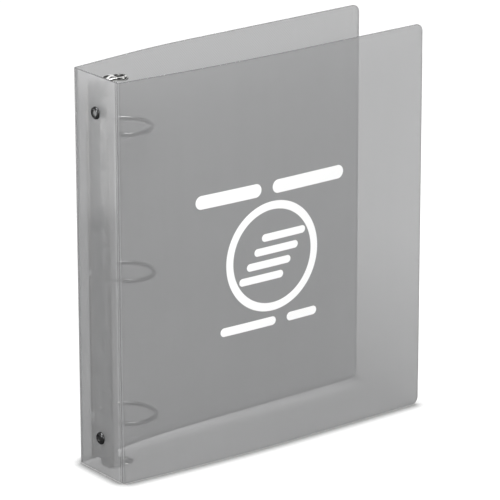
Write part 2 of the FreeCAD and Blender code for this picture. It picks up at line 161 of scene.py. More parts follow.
class Bench:
    """Adds nodes to one tree."""

    def __init__(self, tree: bpy.types.NodeTree) -> None:
        """Work on a tree, which starts empty."""
        self.tree = tree
        tree.nodes.clear()

    def node(
        self,
        kind: str,
        settings: Optional[dict[str, Any]] = None,
        inputs: Optional[dict[Union[str, int], Any]] = None,
    ) -> bpy.types.Node:
        """Add one node.

        Args:
            kind: The node's type name.
            settings: Properties of the node, set first.
            inputs: Values, sockets or readings for its input sockets, by name or number.

        Returns:
            The new node.
        """
        made = self.tree.nodes.new(kind)
        for name, setting in (settings or {}).items():
            setattr(made, name, setting)
        self.feed(made, inputs or {})
        return made

    def feed(self, node: bpy.types.Node, inputs: dict[Union[str, int], Any]) -> None:
        """Link or set a node's input sockets, given by name or number."""
        for key, given in inputs.items():
            socket = node.inputs[key]
            if isinstance(given, Reading):
                self.tree.links.new(given.socket, socket)
            elif isinstance(given, bpy.types.NodeSocket):
                self.tree.links.new(given, socket)
            else:
                socket.default_value = given

    def reading(self, node: bpy.types.Node, output: Union[str, int] = 0) -> Reading:
        """Value of one output, ready for arithmetic."""
        return Reading(self, node.outputs[output])

    def place(self) -> tuple[Reading, Reading, Reading]:
        """The three object coordinates of the shaded point, in metres."""
        coordinate = self.node("ShaderNodeTexCoord")
        split = self.node("ShaderNodeSeparateXYZ", inputs={0: coordinate.outputs["Object"]})
        return self.reading(split, "X"), self.reading(split, "Y"), self.reading(split, "Z")

    def noise(self, scale: float, detail: float, stretch: Triple = (1.0, 1.0, 1.0)) -> Reading:
        """Soft random value from 0 to 1 over the object's own space.

        Args:
            scale: Blotches per metre.
            detail: How many finer octaves are added.
            stretch: Factors on the three axes, so that blotches can run along one of them.

        Returns:
            The noise value.
        """
        place = self.node("ShaderNodeTexCoord").outputs["Object"]
        mapping = self.node("ShaderNodeMapping", inputs={"Vector": place, "Scale": stretch})
        inputs = {"Vector": mapping.outputs[0], "Scale": scale, "Detail": detail, "Roughness": 0.55}
        return self.reading(self.node("ShaderNodeTexNoise", {"noise_dimensions": "3D"}, inputs))

    def blend(self, amount: Number, low: Any, high: Any) -> bpy.types.NodeSocket:
        """Colour between two colours, each of them a triple or a socket."""
        low, high = (
            colour if isinstance(colour, bpy.types.NodeSocket) else (*colour, 1.0) for colour in (low, high)
        )
        mix = self.node("ShaderNodeMix", {"data_type": "RGBA"}, {"Factor": amount, 6: low, 7: high})
        return mix.outputs[2]

    def grey(self, value: Number) -> bpy.types.NodeSocket:
        """Grey of one brightness."""
        return self.node("ShaderNodeCombineColor", inputs={0: value, 1: value, 2: value}).outputs[0]

    def bump(self, height: Reading, strength: float, distance: float) -> bpy.types.NodeSocket:
        """Normal of a surface that is raised by a height.

        Args:
            height: The height, from 0 to 1.
            strength: Share of the effect that is used.
            distance: Metres between a height of 0 and one of 1.

        Returns:
            The normal.
        """
        inputs = {"Strength": strength, "Distance": distance, "Height": height}
        return self.node("ShaderNodeBump", inputs=inputs).outputs[0]


# ---- finishes ---------------------------------------------------------------------------------

POLY_IOR = 1.49


@dataclass(frozen=True)
class Finish:
    """A named surface finish, made as a node material."""

    name: str

    def paint(self, bench: Bench, shader: bpy.types.Node) -> bpy.types.NodeSocket:
        """Set the shader's sockets and give what the material shows. Each finish has its own."""
        raise NotImplementedError

    def material(self) -> bpy.types.Material:
        """The material, made once and then shared."""
        known = bpy.data.materials.get(self.name)
        if known is not None:
            return known
        made = bpy.data.materials.new(self.name)
        made.use_nodes = True
        bench = Bench(made.node_tree)
        shown = self.paint(bench, bench.node("ShaderNodeBsdfPrincipled"))
        bench.node("ShaderNodeOutputMaterial", inputs={"Surface": shown})
        return made


@dataclass(frozen=True)
class Emblem:
    """Plain screen print: a ring with a stack of sheets in it, between two rows of bars."""

    centre: Point = (0.1305, 0.1475)
    ring_radius: float = 0.0385
    ring_width: float = 0.0064
    sheet_half: Point = (0.0200, 0.0030)
    sheet_step: Point = (0.0034, 0.0100)
    title_bars: tuple[tuple[float, float], ...] = ((-0.0390, 0.0290), (0.0330, 0.0330))
    title_rise: float = 0.0520
    title_half: float = 0.0052
    foot_bars: tuple[tuple[float, float], ...] = ((-0.0220, 0.0250), (0.0270, 0.0140))
    foot_rise: float = -0.0496
    foot_half: float = 0.0034
    edge: float = 0.0002

    def bar(self, across: Reading, up: Reading, centre: Point, half: Point) -> Reading:
        """Signed distance to a bar with fully rounded ends."""
        radius = half[1]
        reach = (abs(across - centre[0]) - (half[0] - radius)).most(0.0)
        lift = up - centre[1]
        return (reach * reach + lift * lift).root() - radius

    def mask(self, across: Reading, up: Reading) -> Reading:
        """1 on the ink and 0 off it.

        Args:
            across: Distance along the cover.
            up: Height on the cover.

        Returns:
            The ink's mask, soft over the edge's width.
        """
        across, up = across - self.centre[0], up - self.centre[1]
        distance = abs((across * across + up * up).root() - self.ring_radius) - self.ring_width / 2
        for step in (-1.5, -0.5, 0.5, 1.5):
            middle = (self.sheet_step[0] * step * 2, self.sheet_step[1] * step)
            distance = distance.least(self.bar(across, up, middle, self.sheet_half))
        title = (self.title_bars, self.title_rise, self.title_half)
        foot = (self.foot_bars, self.foot_rise, self.foot_half)
        for bars, rise, half in (title, foot):
            for middle, half_length in bars:
                distance = distance.least(self.bar(across, up, (middle, rise), (half_length, half)))
        return distance.ramp(self.edge, -self.edge)


@dataclass(frozen=True)
class SmokePoly(Finish):
    """Translucent smoke polypropylene with a fine diamond emboss."""

    name: str = "smoke_polypropylene"
    tint: Triple = (0.325, 0.327, 0.330)
    pale_tint: Triple = (0.365, 0.366, 0.369)
    milk: Triple = (0.548, 0.551, 0.555)
    milkiness: float = 0.25
    ink: Triple = (0.93, 0.93, 0.925)
    face_alpha: float = 0.415
    ink_alpha: float = 0.995
    cloud_depth: float = 0.45
    streak_depth: float = 0.3
    diamond_pitch: float = 0.0021
    emboss: float = 0.10
    emboss_depth: float = 0.00003
    gloss: float = 0.05
    emblem: Optional[Emblem] = None

    def diamonds(self, bench: Bench) -> Reading:
        """Height of the emboss, from 0 in the grooves to 1 on the diamonds."""
        across, deep, up = bench.place()
        turn = math.pi / self.diamond_pitch
        along = across + deep
        rising = ((along + up) * turn).sine()
        falling = ((along - up) * turn).sine()
        return abs(rising * falling)

    def paint(self, bench: Bench, shader: bpy.types.Node) -> bpy.types.NodeSocket:
        """Emboss, faint clouds and drawn streaks in the tint, and the print where there is one."""
        relief = self.diamonds(bench)
        cloud = bench.noise(11.0, 4.0)
        streak = bench.noise(70.0, 2.0, (1.0, 1.0, 0.06))
        mottle = relief * (0.5 * self.emboss) + cloud * self.cloud_depth + streak * self.streak_depth
        colour = bench.blend(mottle.clamped(), self.tint, self.pale_tint)
        uneven = (cloud - 0.5) * 0.04 + (streak - 0.5) * 0.02 - (relief - 0.4) * (0.12 * self.emboss)
        opacity = uneven + self.face_alpha
        rough = relief * 0.03 + streak * 0.04 + self.gloss
        height = relief
        lit_through: Number = self.milkiness
        if self.emblem is not None:
            across, _, up = bench.place()
            ink = self.emblem.mask(across, up)
            speck = bench.noise(900.0, 2.0)
            colour = bench.blend(ink, colour, self.ink)
            opacity = opacity.most(ink * (self.ink_alpha - 0.01 * speck))
            rough = rough + ink * 0.2
            height = height * (1 - ink * 0.6) + ink * 0.6
            lit_through = (1 - ink) * self.milkiness
        inputs = {
            "Base Color": colour,
            "Alpha": opacity.clamped(),
            "Roughness": rough.clamped(),
            "Normal": bench.bump(height, self.emboss, self.emboss_depth),
            "IOR": POLY_IOR,
        }
        bench.feed(shader, inputs)
        milk = bench.node("ShaderNodeBsdfTranslucent", inputs={"Color": (*self.milk, 1.0)})
        mixed = {0: lit_through, 1: shader.outputs[0], 2: milk.outputs[0]}
        return bench.node("ShaderNodeMixShader", inputs=mixed).outputs[0]


@dataclass(frozen=True)
class CutEdge(Finish):
    """Trimmed edge of the sheet, darker because one looks along it, with painted light at the foot and
    painted shade in score lines.
    """

    name: str = "cut_edge"
    dark: Triple = (0.17, 0.171, 0.174)
    light: Triple = (0.40, 0.40, 0.40)
    alpha: float = 0.56
    foot_alpha: float = 0.34
    foot_height: float = 0.0012
    foot_glow: float = 0.05

    def paint(self, bench: Bench, shader: bpy.types.Node) -> bpy.types.NodeSocket:
        """Saw marks across the thickness, and a painted light line with a faint painted glow where the sheet
        stands.
        """
        _, _, up = bench.place()
        marks = bench.noise(1800.0, 2.0)
        # Painted light: a pale line and a faint glow along the foot where the sheet stands.
        foot = up.ramp(self.foot_height, self.foot_height / 2)
        colour = bench.blend((foot * (0.75 + 0.25 * marks)).clamped(), self.dark, self.light)
        opacity = self.alpha + 0.08 * marks + foot * self.foot_alpha
        inputs = {
            "Base Color": colour,
            "Alpha": opacity.clamped(),
            "Roughness": (marks * 0.2 + 0.45).clamped(),
            "Normal": bench.bump(marks, 0.3, 0.00002),
            "Emission Color": bench.grey(foot * self.foot_glow),
            "Emission Strength": 1.0,
            "Specular IOR Level": 0.12,
            "IOR": POLY_IOR,
        }
        bench.feed(shader, inputs)
        return shader.outputs[0]


@dataclass(frozen=True)
class Plating(Finish):
    """Bright or dull metal plating with fine drawn lines and faint stains."""

    name: str = "bright_nickel"
    bright: Triple = (0.86, 0.85, 0.83)
    dull: Triple = (0.75, 0.74, 0.73)
    gloss: float = 0.22
    stain: float = 0.06
    line_stretch: Triple = (1.0, 1.0, 0.02)
    line_depth: float = 0.00001
    patch_edges: Point = (0.38, 0.62)
    patch_share: float = 0.75

    def paint(self, bench: Bench, shader: bpy.types.Node) -> bpy.types.NodeSocket:
        """Drawn lines along the strip, and cloudy patches in the plating."""
        patch = bench.noise(220.0, 4.0)
        lines = bench.noise(2600.0, 2.0, self.line_stretch)
        worn = patch.ramp(*self.patch_edges) * self.patch_share + lines * (1 - self.patch_share)
        colour = bench.blend(worn.clamped(), self.dull, self.bright)
        rough = patch * self.stain + lines * 0.06 + (self.gloss - 0.03)
        normal = bench.bump(lines, 0.3, self.line_depth)
        inputs = {"Base Color": colour, "Roughness": rough.clamped(), "Normal": normal, "Metallic": 1.0}
        bench.feed(shader, inputs)
        return shader.outputs[0]


@dataclass(frozen=True)
class DarkRivet(Finish):
    """Black-nickelled rivet whose dished middle has a painted lighter sheen."""

    name: str = "dark_nickel"
    dark: Triple = (0.055, 0.055, 0.056)
    painted_sheen: Triple = (0.12, 0.12, 0.12)
    dish_radius: float = 0.0023

    def paint(self, bench: Bench, shader: bpy.types.Node) -> bpy.types.NodeSocket:
        """Dark plating, with a radial mask round each of the two rivets that paints a lighter sheen in the
        middle.
        """
        _, deep, up = bench.place()
        boxes = [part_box(f"{end.word}_rivet") for end in End]
        heights = [(low[2] + high[2]) / 2 for low, high in boxes]
        lift = abs(up - heights[0]).least(abs(up - heights[1]))
        centre = (deep * deep + lift * lift).root().ramp(self.dish_radius * 1.15, self.dish_radius * 0.85)
        scuff = bench.noise(1500.0, 4.0)
        # Painted sheen: the dished middle is painted lighter, mottled by the scuffs.
        colour = bench.blend((centre * (0.55 + 0.45 * scuff)).clamped(), self.dark, self.painted_sheen)
        rough = scuff * 0.15 + centre * 0.1 + 0.16
        normal = bench.bump(scuff, 0.25, 0.00002)
        inputs = {"Base Color": colour, "Roughness": rough.clamped(), "Normal": normal, "Metallic": 1.0}
        bench.feed(shader, inputs)
        return shader.outputs[0]


@dataclass(frozen=True)
class PaleFloor(Finish):
    """Matt white table, softly lit from within.

    It has a painted contact shadow under what touches it, painted shade between the covers and a painted
    light band towards the back cover's foot. Seen through one sheet it has a wide, faint painted shadow, and
    reflections show it dim with a painted bright card, side glow and glint on it.
    """

    name: str = "pale_floor"
    white: float = 0.26
    glow: float = 0.74
    shut_white: float = 0.79
    band_white: float = 0.44
    band_edges: Point = (0.020, 0.034)
    bounce: float = 0.50
    card_glow: float = 5.2
    card_heading: Point = (-0.60, 0.80)
    card_edges: Point = (0.62, 0.64)
    side_heading: Point = (-0.829, -0.559)
    side_edges: Point = (-0.03, 0.05)
    side_glow: float = 0.3
    glint: float = 0.10
    contact_reach: float = 0.010
    contact_edges: Point = (1.0, 0.42)
    shelter_reach: float = 0.150
    shelter_edges: Point = (0.52, 0.30)
    shade_middle: Point = (0.15, 0.0)
    shade_edges: Point = (0.50, 0.08)
    shade_depth: float = 0.42

    def along(self, across: Reading, deep: Reading, heading: Point) -> Reading:
        """Distance from the origin along a heading."""
        return across * heading[0] + deep * heading[1]

    def openness(self, bench: Bench, reach: float) -> Reading:
        """Share of the sky that the floor sees within a reach."""
        node = bench.node("ShaderNodeAmbientOcclusion", {"samples": 8}, {"Distance": reach})
        return bench.reading(node, "AO")

    def open_sky(self, bench: Bench, across: Reading, deep: Reading, sheets: Reading) -> Reading:
        """How white the floor is to the eye.

        Args:
            bench: Bench of the floor's tree.
            across: Place along the covers.
            deep: Place across the spine.
            sheets: How many clear surfaces the ray has passed.

        Returns:
            1 in the open, less under the painted contact shadow and painted shade, more in the painted light
            band.
        """
        # Painted shade between the covers, and a painted contact shadow right under what touches the floor.
        sheltered = self.openness(bench, self.shelter_reach).ramp(*self.shelter_edges)
        touched = self.openness(bench, self.contact_reach).ramp(*self.contact_edges) * (1 - sheltered)
        off = (across - self.shade_middle[0], deep - self.shade_middle[1])
        distance = (off[0] * off[0] + off[1] * off[1]).root()
        # Painted shadow: wide and faint round the binder, seen only through one sheet.
        shade = distance.ramp(*self.shade_edges) * self.shade_depth
        through = sheets.ramp(0.0, 1.0) * sheets.ramp(3.5, 2.5)
        # Painted light band: the sheltered floor is lighter towards the back cover's foot.
        shut = 1 - self.shut_white - deep.ramp(*self.band_edges) * self.band_white
        return (1 - touched) * (1 - sheltered * shut - (1 - sheltered) * through * shade)

    def paint(self, bench: Bench, shader: bpy.types.Node) -> bpy.types.NodeSocket:
        """One brightness for the eye, one for reflections and one for the light that bounces."""
        path = bench.node("ShaderNodeLightPath")
        seen, gloss = bench.reading(path, "Is Camera Ray"), bench.reading(path, "Is Glossy Ray")
        across, deep, _ = bench.place()
        # Painted reflection: a bright card, a side glow and a faint glint that only glossy rays see.
        side = self.along(across, deep, self.side_heading).ramp(*self.side_edges)
        card = self.along(across, deep, self.card_heading).ramp(*self.card_edges)
        mirrored = card * side * self.card_glow + side * self.side_glow + self.glint
        open_sky = self.open_sky(bench, across, deep, bench.reading(path, "Transparent Depth"))
        grain = bench.noise(40.0, 3.0) * 0.02
        grey = seen * (open_sky * self.white + 0.02 - grain) + (1 - seen) * self.bounce * (1 - gloss)
        # Emission carries the floor's glow with its painted shade for the eye, and the painted reflection for
        # glossy rays.
        inputs = {
            "Base Color": bench.grey(grey),
            "Emission Color": bench.grey(seen * open_sky * self.glow + gloss * mirrored),
            "Emission Strength": 1.0,
            "Roughness": 0.9,
            "Specular IOR Level": 0.0,
        }
        bench.feed(shader, inputs)
        return shader.outputs[0]


POLY = SmokePoly()
INNER_POLY = SmokePoly(name="embossed_polypropylene", emboss=1.2, gloss=0.22)
PRINTED_POLY = SmokePoly(name="printed_polypropylene", emblem=Emblem())
NICKEL = Plating()
EVEN = (1.0, 1.0, 1.0)
RING_PLATE = Plating("chromed_wire", (0.20, 0.20, 0.197), (0.14, 0.14, 0.14), 0.10, 0.06, EVEN)
RAIL_PLATE = Plating("drawn_steel", (0.74, 0.74, 0.73), (0.14, 0.14, 0.14), 0.10, 0.25)
CUT_EDGE = CutEdge()
RIVET_PLATE = DarkRivet()
LEVER_PLATE = Plating("bright_chrome", (0.50, 0.50, 0.49), (0.30, 0.30, 0.295), 0.08, 0.05, EVEN)


# ---- mesh help --------------------------------------------------------------------------------


def new_object(name: str, mesh: bpy.types.Mesh) -> bpy.types.Object:
    """Object at the origin that shows a mesh, linked to the scene."""
    made = bpy.data.objects.new(name, mesh)
    bpy.context.scene.collection.objects.link(made)
    return made


def mesh_from(name: str, points: Iterable[Sequence[float]], faces: Iterable[Sequence[int]]) -> bpy.types.Mesh:
    """Mesh of points and faces."""
    mesh = bpy.data.meshes.new(name)
    mesh.from_pydata([tuple(p) for p in points], [], [tuple(f) for f in faces])
    mesh.validate()
    return mesh


def settle(source: bpy.types.Object, smooth_angle: Optional[float] = 35.0) -> bpy.types.Object:
    """Turn an object's modifiers into a plain mesh.

    Args:
        source: Object with its modifiers, which is used up.
        smooth_angle: Edges sharper than this many degrees stay crisp. None leaves the shading.

    Returns:
        A new object of the same name, at the origin, with no modifier.
    """
    graph = bpy.context.evaluated_depsgraph_get()
    graph.update()
    mesh = bpy.data.meshes.new_from_object(source.evaluated_get(graph))
    name = source.name
    bpy.data.objects.remove(source)
    made = new_object(name, mesh)
    mesh.name = name
    if smooth_angle is not None:
        mesh.polygons.foreach_set("use_smooth", [True] * len(mesh.polygons))
        mesh.set_sharp_from_angle(angle=math.radians(smooth_angle))
    return made


def face_outwards(mesh: bpy.types.Mesh) -> None:
    """Merge doubled points and turn every face outwards."""
    work = bmesh.new()
    work.from_mesh(mesh)
    bmesh.ops.remove_doubles(work, verts=work.verts, dist=1e-7)
    bmesh.ops.recalc_face_normals(work, faces=work.faces)
    work.to_mesh(mesh)
    work.free()


def dress(piece: bpy.types.Object, *finishes: Finish) -> None:
    """Give a piece its materials, in order."""
    piece.data.materials.clear()
    for finish in finishes:
        piece.data.materials.append(finish.material())


def bevelled(piece: bpy.types.Object, width: float) -> None:
    """Round a piece's edges over a width with a live Bevel, which settle() makes final."""
    rounding = piece.modifiers.new("edge_rounding", "BEVEL")
    rounding.width = width
    rounding.segments = 2
    rounding.limit_method = "ANGLE"
    rounding.angle_limit = math.radians(40.0)
    rounding.harden_normals = False


# ---- the folded sheet -------------------------------------------------------------------------

INNER_FACE, OUTER_FACE, CUT_AND_CREASE_FACE = range(3)


@dataclass
class SheetRun:
    """Plan of one cover, from the fold to the free edge: straight, a wide bend, straight."""

    heading: float
    first_run: float
    bend_radius: float
    end_heading: float
    last_run: float

    @property
    def bend_length(self) -> float:
        """Length of the bend along the outer face."""
        return self.bend_radius * math.radians(self.heading - self.end_heading)

    @property
    def length(self) -> float:
        """Whole length along the outer face."""
        return self.first_run + self.bend_length + self.last_run

    def at(self, start: Point, along: float) -> Triple:
        """Place and heading of the outer face.

        Args:
            start: Where the run starts.
            along: Distance along the run.

        Returns:
            The two coordinates and the heading in degrees.
        """
        x, y = start
        heading = self.heading
        straight = min(along, self.first_run)
        x += straight * math.cos(math.radians(heading))
        y += straight * math.sin(math.radians(heading))
        bent = min(max(along - self.first_run, 0.0), self.bend_length)
        if bent > 0.0:
            turned = heading - math.degrees(bent / self.bend_radius)
            x += self.bend_radius * (math.sin(math.radians(heading)) - math.sin(math.radians(turned)))
            y += self.bend_radius * (math.cos(math.radians(turned)) - math.cos(math.radians(heading)))
            heading = turned
        rest = max(along - self.first_run - self.bend_length, 0.0)
        return (
            x + rest * math.cos(math.radians(heading)),
            y + rest * math.sin(math.radians(heading)),
            heading,
        )


@dataclass
class Column:
    """One upright line through a panel: its two faces, its two ends, and whether it is creased."""

    outer: Point
    inner: Point
    low: float
    high: float
    creased: bool = False


@dataclass
class FoldedSheet:
    """The one poly sheet of the binder: spine, two covers and the two living hinges."""

    thick: float = 0.0014
    web_thick: float = 0.0006
    fold_leg: float = 0.0019
    corner_radius: float = 0.006
    edge_round: float = 0.0005
    crease_half: float = 0.00032
    crease_depth: float = 0.00012
    spine_crease: float = 0.0241
    web_crease: float = 201.0
    rows: int = 12
    flat_columns: int = 56
    corner_columns: int = 9
    fold_columns: int = 10
    runs: dict[Side, SheetRun] = field(
        default_factory=lambda: {
            Side.FRONT: SheetRun(3.2, 0.040, 1.400, -1.6, 0.114),
            Side.BACK: SheetRun(9.0, 0.047, 0.507, 2.0, 0.162),
        }
    )

    def __post_init__(self) -> None:
        """Read the sheet's height and the spine's width from the frame."""
        low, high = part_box("spine_panel")
        self.height = high[2] - low[2]
        self.spine_half = high[1]
        self.fold_centre = (self.fold_leg - self.thick / 2, self.spine_half)

    def fold_point(self, side: Side, radius: float, direction: float) -> Point:
        """Point round the fold, with the back cover's side taken as positive."""
        turn = math.radians(direction)
        x = self.fold_centre[0] + radius * math.cos(turn)
        y = self.fold_centre[1] + radius * math.sin(turn)
        return (x, side.value * y)

    def columns(self, length: float) -> list[float]:
        """Distances along a cover where the mesh has a column, closer in the rounded corners."""
        flat = length - self.corner_radius
        steps = [flat * i / self.flat_columns for i in range(self.flat_columns)]
        turns = [math.radians(90 * i / self.corner_columns) for i in range(self.corner_columns + 1)]
        return steps + [flat + self.corner_radius * math.sin(turn) for turn in turns]

    def column_limits(self, length: float, along: float) -> tuple[float, float]:
        """Lowest and highest point of the sheet at one distance from the fold."""
        into = along - (length - self.corner_radius)
        if into <= 0.0:
            return 0.0, self.height
        drop = self.corner_radius - math.sqrt(max(self.corner_radius**2 - into**2, 0.0))
        return drop, self.height - drop

    def panel(self, name: str, columns: list[Column], trimmed_end: bool = False) -> bpy.types.Object:
        """Closed panel between an outer and an inner face.

        Args:
            name: The piece's name.
            columns: The panel's upright lines, in order.
            trimmed_end: Whether the last line is a cut edge rather than a fold.

        Returns:
            The panel with rounded edges. Its cut edges and creases share one material slot, whose dark colour
            is painted shade in the creases.
        """
        rows = self.rows
        points = []
        for face in ("outer", "inner"):
            for column in columns:
                step = (column.high - column.low) / rows
                points += [(*getattr(column, face), column.low + step * row) for row in range(rows + 1)]
        stride, layer = rows + 1, (rows + 1) * len(columns)
        faces, slots = [], []
        for c, (column, following) in enumerate(zip(columns, columns[1:])):
            # Crease faces take the dark edge material: painted shade in the score lines.
            outer_slot = CUT_AND_CREASE_FACE if column.creased and following.creased else OUTER_FACE
            for r in range(rows):
                a, b = c * stride + r, (c + 1) * stride + r
                faces += [(a, b, b + 1, a + 1), (layer + a, layer + a + 1, layer + b + 1, layer + b)]
                slots += [outer_slot, INNER_FACE]
            for r in (0, rows):
                a, b = c * stride + r, (c + 1) * stride + r
                faces.append((a, layer + a, layer + b, b))
                slots.append(CUT_AND_CREASE_FACE)
        last_slot = CUT_AND_CREASE_FACE if trimmed_end else INNER_FACE
        for c, slot in ((0, INNER_FACE), (len(columns) - 1, last_slot)):
            for r in range(rows):
                a = c * stride + r
                faces.append((a, a + 1, layer + a + 1, layer + a))
                slots.append(slot)
        piece = new_object(name, mesh_from(name, points, faces))
        dress(piece, POLY, POLY, CUT_EDGE)
        for polygon, slot in zip(piece.data.polygons, slots):
            polygon.material_index = slot
        self.round_edges(piece.data)
        return piece

    def round_edges(self, mesh: bpy.types.Mesh) -> None:
        """Round the edges between the faces and the cut sides, and leave the folds square."""
        work = bmesh.new()
        work.from_mesh(mesh)
        bmesh.ops.recalc_face_normals(work, faces=work.faces)
        sharp = [
            edge
            for edge in work.edges
            if sum(face.material_index == CUT_AND_CREASE_FACE for face in edge.link_faces) == 1
            and all(abs(face.normal.z) < 0.5 or face.material_index == CUT_AND_CREASE_FACE for face in edge.link_faces)
            and edge.calc_face_angle(0.0) > 0.7
            and not any(self.is_fold_end(face) for face in edge.link_faces)
        ]
        rounding = {"offset": self.edge_round, "segments": 3, "profile": 0.5, "material": CUT_AND_CREASE_FACE}
        bmesh.ops.bevel(work, geom=sharp, affect="EDGES", **rounding)
        work.to_mesh(mesh)
        work.free()
        mesh.polygons.foreach_set("use_smooth", [True] * len(mesh.polygons))
        mesh.set_sharp_from_angle(angle=math.radians(35.0))

    def is_fold_end(self, face: bmesh.types.BMFace) -> bool:
        """Whether a face closes a panel where it meets the next one at the fold."""
        lengths = [edge.calc_length() for edge in face.edges]
        narrow = min(lengths) < self.thick * 1.01
        return face.material_index == INNER_FACE and narrow and max(lengths) > self.thick

    def cover(self, side: Side) -> bpy.types.Object:
        """One cover, bent as its run says, riding on its own body."""
        run = self.runs[side]
        start = self.fold_point(side, self.fold_leg, run.heading + 90)
        start = (start[0], side.value * start[1])
        columns = []
        for along in self.columns(run.length):
            x, y, heading = run.at(start, along)
            turn = math.radians(heading)
            inward = (x + self.thick * math.sin(turn), y - self.thick * math.cos(turn))
            low, high = self.column_limits(run.length, along)
            columns.append(Column((x, side.value * y), (inward[0], side.value * inward[1]), low, high))
        piece = self.panel(f"{side.word}_cover_sheet", columns, trimmed_end=True)
        if side is Side.FRONT:
            piece.data.materials[OUTER_FACE] = PRINTED_POLY.material()
        else:
            piece.data.materials[INNER_FACE] = INNER_POLY.material()
        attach(piece, f"{side.word}_cover")
        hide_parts(f"{side.word}_cover")
        return piece

    def creased(self, places: list[float], creases: list[float], reach: float) -> list[tuple[float, bool]]:
        """Add three lines for each crease to a list of places.

        Args:
            places: Places of the plain lines, in order.
            creases: Places of the creases' bottoms.
            reach: Half a crease's width, in the same measure.

        Returns:
            Every place with whether it belongs to a crease.
        """
        plain = [(place, False) for place in places if all(abs(place - c) > reach * 1.5 for c in creases)]
        return sorted(plain + [(c + step, True) for c in creases for step in (-reach, 0.0, reach)])

    def spine(self) -> bpy.types.Object:
        """Flat spine panel, scored beside each fold."""
        half = self.thick / 2
        count = 12
        places = [self.spine_half * (2 * i / count - 1) for i in range(count + 1)]
        columns = []
        for y, crease in self.creased(places, [-self.spine_crease, self.spine_crease], self.crease_half):
            deep = crease and abs(abs(y) - self.spine_crease) < self.crease_half / 2
            outer = -half + (self.crease_depth if deep else 0.0)
            columns.append(Column((outer, y), (half, y), 0.0, self.height, crease))
        piece = self.panel("spine_sheet", columns)
        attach(piece, "spine")
        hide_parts("spine_panel")
        return piece

    def hinge(self, side: Side) -> bpy.types.Object:
        """Thin web round the fold, scored once."""
        end = self.runs[side].heading + 90
        count = self.fold_columns
        places = [end + (180 - end) * i / count for i in range(count + 1)]
        reach = math.degrees(self.crease_half / self.fold_leg)
        columns = []
        score = 360 - self.web_crease
        for direction, crease in self.creased(places, [score], reach):
            deep = crease and abs(direction - score) < reach / 2
            outer = self.fold_point(side, self.fold_leg - (self.crease_depth if deep else 0.0), direction)
            inner = self.fold_point(side, self.fold_leg - self.web_thick, direction)
            columns.append(Column(outer, inner, 0.0, self.height, crease))
        piece = self.panel(f"{side.word}_hinge_fold", columns)
        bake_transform(piece)
        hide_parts(f"{side.word}_hinge_web")
        return piece

    def build(self) -> list[bpy.types.Object]:
        """All five panels of the sheet."""
        made = [self.spine()]
        for side in Side:
            made += [self.cover(side), self.hinge(side)]
        return made


# ---- the ring mechanism -----------------------------------------------------------------------


